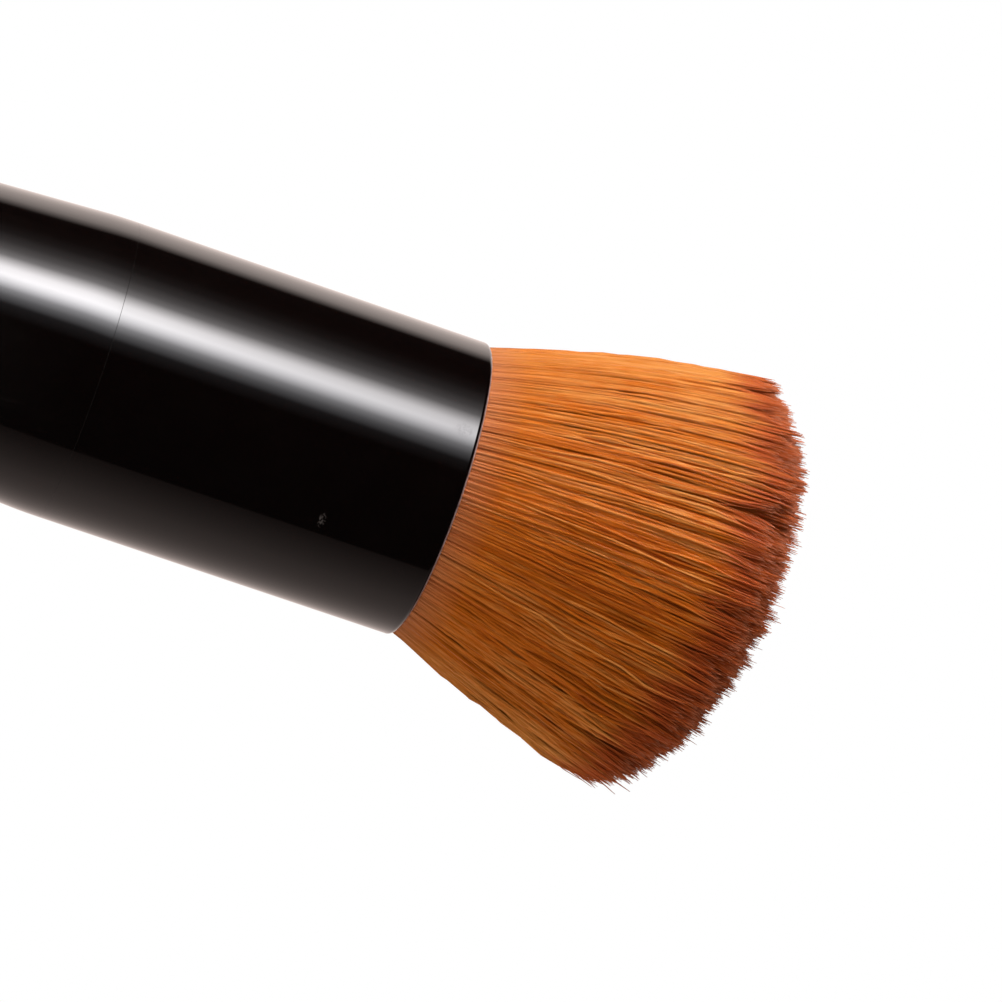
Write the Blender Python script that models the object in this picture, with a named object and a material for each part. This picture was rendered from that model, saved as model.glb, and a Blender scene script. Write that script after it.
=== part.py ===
"""Short, stout makeup brush with a domed head of synthetic filaments.

The brush stands on its foot. Its axis is +Z, and the origin is the centre of the foot.
From the foot up it is a turned handle, which holds a steel ballast behind a base cap, and
a lacquered ferrule. The ferrule is glued over the handle's tenon and grips the bound root
of the bristle head. The head is cut to a dome and leans a little towards +X.
"""
import math
import random

import bmesh
import bpy
from mathutils import Matrix, Vector

MM = 0.001

# Fits
SEAT_GAP = 0.3 * MM
MERGE_DISTANCE = 0.002 * MM

# Ferrule: a thin drawn tube, rounded at the mouth
FERRULE_RADIUS = 11.0 * MM
FERRULE_WALL = 0.6 * MM
FERRULE_LENGTH = 26.5 * MM
LIP_ROUND = 0.45 * MM
FERRULE_REAR_BREAK = 0.15 * MM

# Handle: a waisted turning with a foot, a tenon and a bore for the ballast
HANDLE_LENGTH = 48.0 * MM
HANDLE_TAPER = 0.06
WAIST_RADIUS = 9.9 * MM
WAIST_HEIGHT = 21.0 * MM
FOOT_RADIUS = 11.7 * MM
FOOT_ROUND = 1.5 * MM
SHOULDER_BREAK = 0.15 * MM
TENON_LENGTH = 9.0 * MM
TENON_CHAMFER = 0.8 * MM
GLUE_GROOVE_WIDTH = 1.2 * MM
GLUE_GROOVE_DEPTH = 0.4 * MM
GLUE_GROOVE_SHARES = (0.3, 0.62)
BORE_RADIUS = 6.6 * MM

# Base cap: a plate let into the foot, with a hollow spigot in the bore
CAP_RADIUS = 8.6 * MM
CAP_PLATE = 1.6 * MM
CAP_EDGE_BREAK = 0.25 * MM
SPIGOT_LENGTH = 3.0 * MM
SPIGOT_WALL = 1.1 * MM

# Ballast and the pad that keeps it from rattling
BALLAST_LENGTH = 20.0 * MM
BALLAST_CHAMFER = 0.8 * MM
PAD_THICKNESS = 2.0 * MM
PAD_HOLE_RADIUS = 1.5 * MM

# Root of the bristle head, inside the ferrule
ROOT_TOP_DEPTH = 0.4 * MM
NECK_HEIGHT = 5.2 * MM
NECK_CUT = 0.9 * MM
PLUG_FLOOR = 1.6 * MM
PLUG_RIM_HEIGHT = 2.0 * MM
BINDING_TURNS = 5
BINDING_ROUND_SHARE = 0.5

# Bristle head, measured from the mouth of the ferrule
HEAD_LENGTH = 23.9 * MM
SHOULDER_HEIGHT = 18.0 * MM
HEAD_RADIUS = 16.5 * MM
HEAD_LEAN = 1.05 * MM
TIP_SLANT = 1.9 * MM
TIP_TAPER = 3.8 * MM
TIP_JITTER = 0.45 * MM
STRAND_EMBED = 0.6 * MM
STRAND_RINGS = 11
MIDDLE_RINGS = 8
CORE_RINGS = 4
STRAND_SIDES = 3
STRAND_FILL_SHARE = 0.45
RING_TWIST_SHARE = 0.62
FLARE_BEND_SHARE = 0.35
BEND_STATION_SHARE = 0.45
DOME_POWER = 3.5
DOME_DEPTH_SHARE = 0.82
JITTER_SEED = 7

# Facets
TURN_STEPS = 48
INNER_TURN_STEPS = 32
ROUND_STEPS = 4
CURVE_STEPS = 9
SMOOTH_ANGLE = math.radians(30.0)

# Sizes that follow from the ones above
FERRULE_BORE = FERRULE_RADIUS - FERRULE_WALL
MOUTH_HEIGHT = HANDLE_LENGTH + SEAT_GAP + FERRULE_LENGTH
TENON_RADIUS = FERRULE_BORE - SEAT_GAP
TENON_TOP = HANDLE_LENGTH + TENON_LENGTH
PLUG_BASE = TENON_TOP + SEAT_GAP
ROOT_BASE = PLUG_BASE + PLUG_FLOOR + SEAT_GAP
ROOT_TOP = MOUTH_HEIGHT - ROOT_TOP_DEPTH
ROOT_RADIUS = FERRULE_BORE - SEAT_GAP
NECK_RADIUS = ROOT_RADIUS - NECK_CUT
STRAND_PITCH = ROOT_RADIUS / (STRAND_RINGS + 0.5)
SPIGOT_TOP = CAP_PLATE + SPIGOT_LENGTH
BALLAST_BASE = SPIGOT_TOP + SEAT_GAP
PAD_BASE = BALLAST_BASE + BALLAST_LENGTH + SEAT_GAP
BORE_TOP = PAD_BASE + PAD_THICKNESS + SEAT_GAP


def clear_scene():
    """Remove whatever the opened file holds."""
    for item in list(bpy.data.objects):
        bpy.data.objects.remove(item, do_unlink=True)


def make_material(name, colour, roughness, metallic):
    """Return a Principled material."""
    material = bpy.data.materials.new(name)
    material.use_nodes = True
    shader = material.node_tree.nodes["Principled BSDF"]
    shader.inputs["Base Color"].default_value = (*colour, 1.0)
    shader.inputs["Roughness"].default_value = roughness
    shader.inputs["Metallic"].default_value = metallic
    material.diffuse_color = (*colour, 1.0)
    return material


def add_object(name, bm, material=None):
    """Turn a bmesh into a named object, smooth on its round stretches."""
    mesh = bpy.data.meshes.new(name)
    bm.to_mesh(mesh)
    bm.free()
    mesh.shade_smooth()
    mesh.set_sharp_from_angle(angle=SMOOTH_ANGLE)
    item = bpy.data.objects.new(name, mesh)
    if material:
        mesh.materials.append(material)
    bpy.context.scene.collection.objects.link(item)
    return item


def arc(centre, radius, start, end, steps=ROUND_STEPS):
    """Points of an arc in the outline's plane, from one angle in degrees to another."""
    angles = [math.radians(start + (end - start) * step / steps) for step in range(steps + 1)]
    return [(centre[0] + radius * math.cos(angle), centre[1] + radius * math.sin(angle))
            for angle in angles]


def turned_curve(low, high, low_slope, high_slope, steps=CURVE_STEPS):
    """Points of a smooth side between two (radius, height) points, given its end slopes."""
    rise = high[1] - low[1]
    points = []
    for step in range(steps + 1):
        t = step / steps
        radius = (low[0] * (2 * t**3 - 3 * t**2 + 1)
                  + high[0] * (3 * t**2 - 2 * t**3)
                  + low_slope * rise * (t**3 - 2 * t**2 + t)
                  + high_slope * rise * (t**3 - t**2))
        points.append((radius, low[1] + rise * t))
    return points


def turn_outline(outline, closed, steps=TURN_STEPS):
    """Spin an outline of (radius, height) points about +Z into one closed solid."""
    bm = bmesh.new()
    verts = [bm.verts.new((radius, 0.0, height)) for radius, height in outline]
    following = verts[1:] + verts[:1] if closed else verts[1:]
    edges = [bm.edges.new(pair) for pair in zip(verts, following)]
    bmesh.ops.spin(bm, geom=verts + edges, cent=(0.0, 0.0, 0.0), axis=(0.0, 0.0, 1.0),
                   angle=math.tau, steps=steps, use_merge=True, use_duplicate=False)
    bmesh.ops.remove_doubles(bm, verts=bm.verts, dist=MERGE_DISTANCE)
    bmesh.ops.recalc_face_normals(bm, faces=bm.faces)
    return bm


def make_ferrule(material):
    """Straight tube with a rounded mouth and a broken rear edge."""
    base = HANDLE_LENGTH + SEAT_GAP
    outline = [(FERRULE_BORE, base), (FERRULE_RADIUS - FERRULE_REAR_BREAK, base),
               (FERRULE_RADIUS, base + FERRULE_REAR_BREAK)]
    outline += arc((FERRULE_RADIUS - LIP_ROUND, MOUTH_HEIGHT - LIP_ROUND), LIP_ROUND, 0, 90)
    outline += [(FERRULE_BORE, MOUTH_HEIGHT)]
    return add_object("ferrule", turn_outline(outline, closed=True), material)


def groove_points(share):
    """Outline of one glue groove round the tenon, at a share of the tenon's length."""
    middle = HANDLE_LENGTH + TENON_LENGTH * share
    floor = TENON_RADIUS - GLUE_GROOVE_DEPTH
    half_width = GLUE_GROOVE_WIDTH / 2
    half_floor = half_width - GLUE_GROOVE_DEPTH / 2
    return [(TENON_RADIUS, middle - half_width), (floor, middle - half_floor),
            (floor, middle + half_floor), (TENON_RADIUS, middle + half_width)]


def make_handle(material):
    """Waisted turning, bored from the foot and stepped at the top for the ferrule."""
    recess_radius = CAP_RADIUS + SEAT_GAP
    recess_top = CAP_PLATE + SEAT_GAP
    outline = [(0.0, BORE_TOP), (BORE_RADIUS, BORE_TOP), (BORE_RADIUS, recess_top),
               (recess_radius, recess_top), (recess_radius, 0.0)]
    outline += arc((FOOT_RADIUS - FOOT_ROUND, FOOT_ROUND), FOOT_ROUND, -90, 0)
    outline += turned_curve((FOOT_RADIUS, FOOT_ROUND), (WAIST_RADIUS, WAIST_HEIGHT), 0, 0)[1:]
    top_of_side = (FERRULE_RADIUS, HANDLE_LENGTH - SHOULDER_BREAK)
    outline += turned_curve((WAIST_RADIUS, WAIST_HEIGHT), top_of_side, 0, HANDLE_TAPER)[1:]
    outline += [(FERRULE_RADIUS - SHOULDER_BREAK, HANDLE_LENGTH), (TENON_RADIUS, HANDLE_LENGTH)]
    for share in GLUE_GROOVE_SHARES:
        outline += groove_points(share)
    outline += [(TENON_RADIUS, TENON_TOP - TENON_CHAMFER),
                (TENON_RADIUS - TENON_CHAMFER, TENON_TOP), (0.0, TENON_TOP)]
    return add_object("handle", turn_outline(outline, closed=False), material)


def make_base_cap(material):
    """Plate flush with the foot, with a hollow spigot that stands in the bore."""
    spigot_radius = BORE_RADIUS - SEAT_GAP
    spigot_bore = spigot_radius - SPIGOT_WALL
    outline = [(0.0, CAP_PLATE), (spigot_bore, CAP_PLATE), (spigot_bore, SPIGOT_TOP),
               (spigot_radius, SPIGOT_TOP), (spigot_radius, CAP_PLATE), (CAP_RADIUS, CAP_PLATE),
               (CAP_RADIUS, CAP_EDGE_BREAK), (CAP_RADIUS - CAP_EDGE_BREAK, 0.0), (0.0, 0.0)]
    return add_object("base_cap", turn_outline(outline, closed=False), material)


def make_ballast(material):
    """Chamfered steel slug that stands on the cap's spigot."""
    radius = BORE_RADIUS - SEAT_GAP
    top = BALLAST_BASE + BALLAST_LENGTH
    outline = [(0.0, BALLAST_BASE), (radius - BALLAST_CHAMFER, BALLAST_BASE),
               (radius, BALLAST_BASE + BALLAST_CHAMFER), (radius, top - BALLAST_CHAMFER),
               (radius - BALLAST_CHAMFER, top), (0.0, top)]
    bm = turn_outline(outline, closed=False, steps=INNER_TURN_STEPS)
    return add_object("ballast", bm, material)


def make_ballast_pad(material):
    """Foam washer between the ballast and the end of the bore."""
    radius = BORE_RADIUS - SEAT_GAP
    top = PAD_BASE + PAD_THICKNESS
    outline = [(PAD_HOLE_RADIUS, PAD_BASE), (radius, PAD_BASE), (radius, top),
               (PAD_HOLE_RADIUS, top)]
    bm = turn_outline(outline, closed=True, steps=INNER_TURN_STEPS)
    return add_object("ballast_pad", bm, material)


def make_root_plug(material):
    """Cup of cured glue that holds the end of the root above the tenon."""
    rim_bore = NECK_RADIUS + SEAT_GAP
    floor = PLUG_BASE + PLUG_FLOOR
    rim_top = floor + PLUG_RIM_HEIGHT
    outline = [(0.0, floor), (rim_bore, floor), (rim_bore, rim_top), (ROOT_RADIUS, rim_top),
               (ROOT_RADIUS, PLUG_BASE), (0.0, PLUG_BASE)]
    bm = turn_outline(outline, closed=False, steps=INNER_TURN_STEPS)
    return add_object("root_plug", bm, material)


def make_root_binding(material):
    """Band of bound thread in the neck of the root, round on each turn."""
    base = PLUG_BASE + PLUG_FLOOR + PLUG_RIM_HEIGHT + SEAT_GAP
    top = ROOT_BASE + NECK_HEIGHT - SEAT_GAP
    turn_height = (top - base) / BINDING_TURNS
    bulge = turn_height * BINDING_ROUND_SHARE
    inner = NECK_RADIUS + SEAT_GAP
    outline = [(inner, top), (inner, base)]
    for turn in range(BINDING_TURNS):
        low = base + turn_height * turn
        side = ROOT_RADIUS - bulge
        outline += [(side, low), (ROOT_RADIUS, low + bulge)]
    outline += [(side, top)]
    bm = turn_outline(outline, closed=True, steps=INNER_TURN_STEPS)
    return add_object("root_binding", bm, material)


def flare(height):
    """How far the head has opened at a height above the mouth: 0 at the root, 1 at the shoulder."""
    share = height / SHOULDER_HEIGHT
    return (1 + FLARE_BEND_SHARE) * share - FLARE_BEND_SHARE * share**2


def head_scale(height):
    """Width of the head at a height above the mouth, as a multiple of its width at the root."""
    return 1 + (HEAD_RADIUS / ROOT_RADIUS - 1) * flare(max(height, 0.0))


def strand_point(root, height):
    """Place of a strand's middle at a height above the mouth."""
    scale = head_scale(height)
    lean = HEAD_LEAN * (max(height, 0.0) / SHOULDER_HEIGHT)**2
    return Vector((root.x * scale + lean, root.y * scale, MOUTH_HEIGHT + height))


def tip_height(root, jitter):
    """Height of a strand's tip above the mouth, on a slanted dome that is flatter in depth."""
    flattened = Vector((root.x, root.y * DOME_DEPTH_SHARE))
    share = flattened.length / (STRAND_PITCH * STRAND_RINGS)
    slant = TIP_SLANT * root.x / ROOT_RADIUS
    dome = (HEAD_LENGTH - SHOULDER_HEIGHT) * share**DOME_POWER
    return HEAD_LENGTH - dome - slant + TIP_JITTER * jitter


def ring_roots(first_ring, last_ring):
    """Places of the strands at the root, six more on each ring outwards."""
    roots = []
    for ring in range(first_ring, last_ring + 1):
        count = max(6 * ring, 1)
        for index in range(count):
            angle = math.tau * (index / count + ring * RING_TWIST_SHARE)
            roots.append(Vector((math.cos(angle), math.sin(angle))) * STRAND_PITCH * ring)
    return roots


def grow_strand(bm, root, chance, bend_shares):
    """Extrude one strand from its root to its tip, wider as the head opens.

    bend_shares are the shares of the strand's height at which it bends below its taper.
    """
    tip = tip_height(root, chance.uniform(-1.0, 1.0))
    start = -ROOT_TOP_DEPTH - STRAND_EMBED
    shoulder = tip - TIP_TAPER
    radius = STRAND_PITCH * STRAND_FILL_SHARE
    turn = Matrix.Rotation(chance.uniform(0.0, math.tau), 4, "Z")
    base = Matrix.Translation(strand_point(root, start)) @ turn
    made = bmesh.ops.create_circle(bm, cap_ends=True, segments=STRAND_SIDES, radius=radius,
                                   matrix=base)
    face = made["verts"][0].link_faces[0]
    last = start
    for height in [shoulder * share for share in bend_shares] + [shoulder]:
        face = bmesh.ops.extrude_discrete_faces(bm, faces=[face])["faces"][0]
        here = strand_point(root, last)
        growth = head_scale(height) / head_scale(last)
        bmesh.ops.scale(bm, vec=(growth, growth, 1.0), verts=face.verts,
                        space=Matrix.Translation(-here))
        bmesh.ops.translate(bm, vec=strand_point(root, height) - here, verts=face.verts)
        last = height
    face = bmesh.ops.extrude_discrete_faces(bm, faces=[face])["faces"][0]
    bmesh.ops.pointmerge(bm, verts=face.verts, merge_co=strand_point(root, tip))


def make_slice(name, first_ring, last_ring, material):
    """Part of the glued root that carries the strands of some rings."""
    outer = STRAND_PITCH * (last_ring + 0.5) - SEAT_GAP / 2
    inner = STRAND_PITCH * (first_ring - 0.5) + SEAT_GAP / 2
    if last_ring == STRAND_RINGS:
        neck_top = ROOT_BASE + NECK_HEIGHT
        outline = [(inner, ROOT_BASE), (NECK_RADIUS, ROOT_BASE), (NECK_RADIUS, neck_top),
                   (ROOT_RADIUS, neck_top), (ROOT_RADIUS, ROOT_TOP), (inner, ROOT_TOP)]
    elif first_ring == 0:
        outline = [(0.0, ROOT_BASE), (outer, ROOT_BASE), (outer, ROOT_TOP), (0.0, ROOT_TOP)]
    else:
        outline = [(inner, ROOT_BASE), (outer, ROOT_BASE), (outer, ROOT_TOP), (inner, ROOT_TOP)]
    bm = turn_outline(outline, closed=first_ring > 0, steps=INNER_TURN_STEPS)
    bmesh.ops.dissolve_limit(bm, angle_limit=math.radians(1.0), verts=bm.verts, edges=bm.edges)
    return add_object(name, bm, material)


def make_bristle_tier(name, first_ring, last_ring, bend_shares, material):
    """Strands of some rings, fused to their slice of the glued root."""
    chance = random.Random(JITTER_SEED + first_ring)
    bm = bmesh.new()
    for root in ring_roots(first_ring, last_ring):
        grow_strand(bm, root, chance, bend_shares)
    open_ends = [edge for edge in bm.edges if edge.is_boundary]
    bmesh.ops.holes_fill(bm, edges=open_ends, sides=STRAND_SIDES)
    bmesh.ops.recalc_face_normals(bm, faces=bm.faces)
    strands = add_object(name + "_strands", bm)
    strands.hide_render = True
    strands.display_type = "WIRE"
    tier = make_slice(name, first_ring, last_ring, material)
    fuse = tier.modifiers.new("fuse strands", "BOOLEAN")
    fuse.operation = "UNION"
    fuse.solver = "EXACT"
    fuse.object = strands
    return tier


def build():
    """Make every piece of the brush."""
    clear_scene()
    lacquer = make_material("ferrule_lacquer", (0.006, 0.005, 0.005), 0.06, 0.0)
    make_ferrule(lacquer)
    make_handle(make_material("handle_lacquer", (0.008, 0.006, 0.006), 0.06, 0.0))
    make_base_cap(make_material("base_cap_black", (0.015, 0.015, 0.015), 0.35, 0.0))
    make_ballast(make_material("ballast_steel", (0.42, 0.42, 0.43), 0.35, 1.0))
    make_ballast_pad(make_material("pad_foam", (0.06, 0.06, 0.065), 0.95, 0.0))
    make_root_plug(make_material("cured_glue", (0.55, 0.38, 0.16), 0.3, 0.0))
    make_root_binding(make_material("binding_thread", (0.75, 0.7, 0.6), 0.8, 0.0))
    core = make_material("core_filament", (0.5, 0.2, 0.07), 0.45, 0.0)
    make_bristle_tier("bristle_core", 0, CORE_RINGS, (), core)
    middle = make_material("middle_filament", (0.53, 0.22, 0.07), 0.45, 0.0)
    make_bristle_tier("bristle_middle", CORE_RINGS + 1, MIDDLE_RINGS, (), middle)
    outer = make_material("outer_filament", (0.56, 0.24, 0.08), 0.45, 0.0)
    make_bristle_tier("bristle_outer", MIDDLE_RINGS + 1, STRAND_RINGS, (BEND_STATION_SHARE,), outer)


build()
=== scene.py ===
"""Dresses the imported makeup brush: lacquered barrel, filament head, studio and camera.

The brush stands on its foot with its axis on +Z. The camera looks along +Y from a little
behind the ferrule's mouth, and is rolled so that the brush points right and down.
"""
from __future__ import annotations

import logging
import math
from dataclasses import dataclass
from enum import Enum

import bmesh
import bpy
import numpy as np
from bpy.types import ID, Material, Mesh, Node, NodeOutputs, NodeSocket as Socket, Object, World
from mathutils import Matrix, Vector


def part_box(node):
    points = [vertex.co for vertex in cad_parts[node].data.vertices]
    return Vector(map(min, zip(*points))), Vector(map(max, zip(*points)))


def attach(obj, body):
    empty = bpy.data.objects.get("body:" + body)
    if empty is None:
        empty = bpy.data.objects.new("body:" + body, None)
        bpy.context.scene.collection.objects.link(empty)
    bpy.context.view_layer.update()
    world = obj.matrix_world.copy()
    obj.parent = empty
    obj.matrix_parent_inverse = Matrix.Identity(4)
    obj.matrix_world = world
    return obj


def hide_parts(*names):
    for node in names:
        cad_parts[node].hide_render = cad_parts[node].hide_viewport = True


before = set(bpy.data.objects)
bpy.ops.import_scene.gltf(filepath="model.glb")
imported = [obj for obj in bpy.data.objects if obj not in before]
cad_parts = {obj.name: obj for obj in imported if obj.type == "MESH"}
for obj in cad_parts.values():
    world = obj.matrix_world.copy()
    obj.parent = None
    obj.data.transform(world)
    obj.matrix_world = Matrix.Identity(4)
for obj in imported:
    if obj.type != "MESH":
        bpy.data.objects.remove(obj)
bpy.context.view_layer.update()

MM = 0.001
CLEARANCE = 0.3 * MM
CAP_PLATE = 1.6 * MM
CUP_FLOOR = 1.9 * MM
BODY = "root"
SHARP_ANGLE = math.radians(35.0)
MERGE_DISTANCE = 0.0005 * MM
GOLDEN_TURN = 3.0 - math.sqrt(5.0)
BATCH = 2000
LOG = logging.getLogger("brush")

Pair = tuple[float, float]
Triple = tuple[float, float, float]
Array = np.ndarray


class Slot(Enum):
    """Material slots of the record."""

    FERRULE = "ferrule_lacquer"
    HANDLE = "handle_lacquer"
    CAP = "base_cap_black"
    FILAMENT = "filament"


class NodeTree:
    """Short way to add and join the nodes of a material, or of the world."""

    def __init__(self, owner: Material | World) -> None:
        """Turn on the owner's nodes.

        Args:
            owner: the material or world that they belong to.
        """
        owner.use_nodes = True
        self.tree = owner.node_tree
        self.shader = self.tree.nodes.get("Principled BSDF")

    def add(self, kind: str, inputs: dict[int | str, object] | None = None,
            **settings: object) -> Node:
        """Add a node.

        Args:
            kind: the node's type without its ShaderNode prefix.
            inputs: what goes into its inputs, by their number or name.
            settings: its properties.

        Returns:
            The node.
        """
        node = self.tree.nodes.new("ShaderNode" + kind)
        for name, setting in settings.items():
            setattr(node, name, setting)
        for key, value in (inputs or {}).items():
            self.join(value, node.inputs[key])
        return node

    def join(self, value: object, socket: Socket) -> None:
        """Lead a value into a socket.

        Args:
            value: another socket, a number, a vector or a colour.
            socket: the input that takes it.
        """
        if isinstance(value, Socket):
            self.tree.links.new(value, socket)
        else:
            socket.default_value = (*value, 1.0) if socket.type == "RGBA" else value

    def set(self, **values: object) -> None:
        """Set sockets of the Principled shader, with underscores for the spaces of their names."""
        for name, value in values.items():
            self.join(value, self.shader.inputs[name.replace("_", " ")])

    def math(self, operation: str, first: object, second: object) -> Socket:
        """Reckon with two values, each a socket or a number."""
        return self.add("Math", {0: first, 1: second}, operation=operation).outputs[0]

    def place(self) -> Socket:
        """Object coordinates, in metres of the brush's own frame."""
        return self.add("TexCoord").outputs["Object"]

    def split(self, vector: Socket) -> NodeOutputs:
        """Split a vector into the sockets X, Y and Z."""
        return self.add("SeparateXYZ", {0: vector}).outputs

    def mix(self, share: object, first: object, second: object) -> Socket:
        """Mix two colours, by the share that the second has."""
        return self.add("Mix", {0: share, 6: first, 7: second}, data_type="RGBA").outputs[2]

    def span(self, value: Socket, source: Pair, target: Pair = (0.0, 1.0)) -> Socket:
        """Carry a value from the source range to the target range, clamped."""
        return self.add("MapRange", dict(enumerate((value, *source, *target)))).outputs[0]

    def noise(self, scale: float, detail: float = 3.0, stretch: Triple = (1.0, 1.0, 1.0),
              roughness: float = 0.5) -> Socket:
        """Add a noise in object space.

        Args:
            scale: how many features there are to the metre.
            detail: how many octaves it has.
            stretch: how much denser it is along X, Y and Z.
            roughness: how much the fine octaves count.

        Returns:
            The noise's value.
        """
        mapping = self.add("Mapping", {"Vector": self.place(), "Scale": stretch})
        inputs = {"Vector": mapping.outputs[0], "Scale": scale, "Detail": detail, "Roughness": roughness}
        return self.add("TexNoise", inputs).outputs["Fac"]

    def ramp(self, value: Socket, stops: list[tuple[float, Triple]]) -> Socket:
        """Turn a value into a colour.

        Args:
            value: the value, from 0 to 1.
            stops: each position with its colour.

        Returns:
            The colour.
        """
        node = self.add("ValToRGB", {0: value})
        band = node.color_ramp
        while len(band.elements) < len(stops):
            band.elements.new(0.5)
        for element, (position, colour) in zip(band.elements, stops):
            element.position = position
            element.color = (*colour, 1.0)
        return node.outputs[0]

    def spot(self, centre: Triple, radii: Triple, grain: float) -> Socket:
        """Mark a ragged spot.

        Args:
            centre: its middle, in metres.
            radii: its half sizes along X, Y and Z.
            grain: how many ragged features there are to the metre.

        Returns:
            1 in the spot and 0 outside it.
        """
        shift = self.add("VectorMath", {0: self.place(), 1: centre}, operation="SUBTRACT")
        shrink = self.add("VectorMath", {0: shift.outputs[0], 1: radii}, operation="DIVIDE")
        size = self.add("VectorMath", {0: shrink.outputs[0]}, operation="LENGTH")
        inside = self.span(size.outputs["Value"], (0.6, 1.0), (1.0, 0.0))
        ragged = self.span(self.noise(grain, detail=2.0), (0.48, 0.56))
        return self.math("MULTIPLY", inside, ragged)

    def bump(self, height: Socket, strength: float, depth: float) -> None:
        """Press a height into the shader's normal.

        Args:
            height: the height, from 0 to 1.
            strength: the share of it that shows.
            depth: what a height of 1 stands for, in metres.
        """
        node = self.add("Bump", {"Strength": strength, "Distance": depth, "Height": height})
        self.set(Normal=node.outputs[0])


@dataclass(frozen=True)
class Finish:
    """A named finish, whose kinds each join their own nodes."""

    name: str

    def material(self) -> Material:
        """Make the finish's material.

        Returns:
            The material.
        """
        material = bpy.data.materials.new(self.name)
        self.join_nodes(NodeTree(material))
        return material

    def join_nodes(self, nodes: NodeTree) -> None:
        """Give the shader its colour, roughness and bumps.

        Args:
            nodes: the material's nodes.
        """
        raise NotImplementedError


@dataclass(frozen=True)
class Mark:
    """Small mark of use on the lacquer: light where it is scratched, dull where it is scuffed."""

    centre: Triple
    radii: Triple
    grain: float
    light: float
    dull: float


@dataclass(frozen=True)
class BlackLacquer(Finish):
    """Deep black gloss lacquer with a warm tint, faint waviness, fine wear, and painted reflection on its
    dull rim.
    """

    tint: Triple = (0.0026, 0.0006, 0.0004)
    dust: Triple = (0.0055, 0.0032, 0.0028)
    # Pale colour painted on the rim as its reflection of light from above.
    painted_rim_reflection: Triple = (0.50, 0.38, 0.38)
    scratched: Triple = (0.45, 0.40, 0.38)
    gloss: float = 0.055
    wear: float = 0.05
    rim: float = 1.0
    rim_width: float = 0.17 * MM
    rim_dullness: float = 0.35
    ripple: float = 0.004 * MM
    marks: tuple[Mark, ...] = ()

    def join_nodes(self, nodes: NodeTree) -> None:
        """Join dust, scratches, marks, the dull rim's painted reflection and the ripple of the sprayed
        coat.
        """
        haze = nodes.span(nodes.noise(420.0, detail=4.0), (0.45, 0.8), (0.0, 0.3))
        colour = nodes.mix(haze, self.tint, self.dust)
        scratches = nodes.noise(900.0, detail=2.0, stretch=(6.0, 6.0, 0.35))
        worn = nodes.span(scratches, (0.62, 0.8), (0.0, self.wear))
        handled = nodes.span(nodes.noise(160.0), (0.3, 0.7), (0.0, 0.02))
        rough = nodes.math("ADD", nodes.math("ADD", worn, handled), self.gloss)
        for mark in self.marks:
            spot = nodes.spot(mark.centre, mark.radii, mark.grain)
            colour = nodes.mix(nodes.math("MULTIPLY", spot, mark.light), colour, self.scratched)
            rough = nodes.math("ADD", rough, nodes.math("MULTIPLY", spot, mark.dull))
        # Band round the mouth's rim: painted pale reflection of light from above, on rougher lacquer.
        height = nodes.split(nodes.place())["Z"]
        rim = nodes.span(height, (self.rim - self.rim_width, self.rim - self.rim_width / 2))
        patchy = nodes.span(nodes.noise(1500.0), (0.3, 0.6), (0.45, 1.0))
        rim = nodes.math("MULTIPLY", rim, patchy)
        rough = nodes.math("ADD", rough, nodes.math("MULTIPLY", rim, self.rim_dullness))
        nodes.set(Base_Color=nodes.mix(rim, colour, self.painted_rim_reflection), Roughness=rough, IOR=1.5)
        nodes.bump(nodes.noise(260.0, detail=1.0), 0.25, self.ripple)


@dataclass(frozen=True)
class SatinMoulding(Finish):
    """Black satin plastic of the base cap, with a fine spark-eroded grain."""

    name: str = "satin_moulding"
    dark: Triple = (0.010, 0.010, 0.011)
    light: Triple = (0.018, 0.017, 0.017)
    grain_depth: float = 0.01 * MM

    def join_nodes(self, nodes: NodeTree) -> None:
        """Join the mottled colour, the patchy gloss and the grain."""
        mottle = nodes.span(nodes.noise(700.0), (0.35, 0.7))
        gloss = nodes.span(nodes.noise(2500.0), (0.3, 0.7), (0.32, 0.46))
        nodes.set(Base_Color=nodes.mix(mottle, self.dark, self.light), Roughness=gloss)
        nodes.bump(nodes.noise(9000.0, detail=2.0), 0.4, self.grain_depth)


@dataclass(frozen=True)
class TurnedSteel(Finish):
    """Turned steel of the ballast, with its tool marks."""

    name: str = "turned_steel"
    bright: Triple = (0.46, 0.46, 0.47)
    stained: Triple = (0.30, 0.28, 0.26)
    mark_depth: float = 0.02 * MM

    def join_nodes(self, nodes: NodeTree) -> None:
        """Join the stains and the tool marks round the axis."""
        marks = nodes.noise(1200.0, stretch=(0.15, 0.15, 8.0))
        stain = nodes.span(nodes.noise(260.0), (0.4, 0.75), (0.0, 0.6))
        nodes.set(Base_Color=nodes.mix(stain, self.bright, self.stained), Metallic=1.0)
        nodes.set(Roughness=nodes.span(marks, (0.3, 0.7), (0.26, 0.44)))
        nodes.bump(marks, 0.35, self.mark_depth)


@dataclass(frozen=True)
class SoftMatter(Finish):
    """Matt, mottled finish of the foam pad, the cured glue and the binding thread."""

    low: Triple
    high: Triple
    scale: float
    roughness: float
    depth: float
    roughness_spread: float = 0.12

    def join_nodes(self, nodes: NodeTree) -> None:
        """Join one noise to the colour, the roughness and the bumps."""
        cells = nodes.noise(self.scale, detail=4.0, roughness=0.65)
        nodes.set(Base_Color=nodes.mix(nodes.span(cells, (0.35, 0.65)), self.low, self.high))
        least = self.roughness - self.roughness_spread
        nodes.set(Roughness=nodes.span(cells, (0.3, 0.7), (least, self.roughness)))
        nodes.bump(cells, 0.6, self.depth)


@dataclass(frozen=True)
class PaleFloor(Finish):
    """Warm white floor with wide, faint clouds."""

    name: str = "pale_floor"
    dark: Triple = (0.80, 0.79, 0.775)
    light: Triple = (0.84, 0.83, 0.82)

    def join_nodes(self, nodes: NodeTree) -> None:
        """Join the clouds."""
        clouds = nodes.span(nodes.noise(9.0), (0.3, 0.7))
        nodes.set(Base_Color=nodes.mix(clouds, self.dark, self.light), Roughness=0.6)


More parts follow.
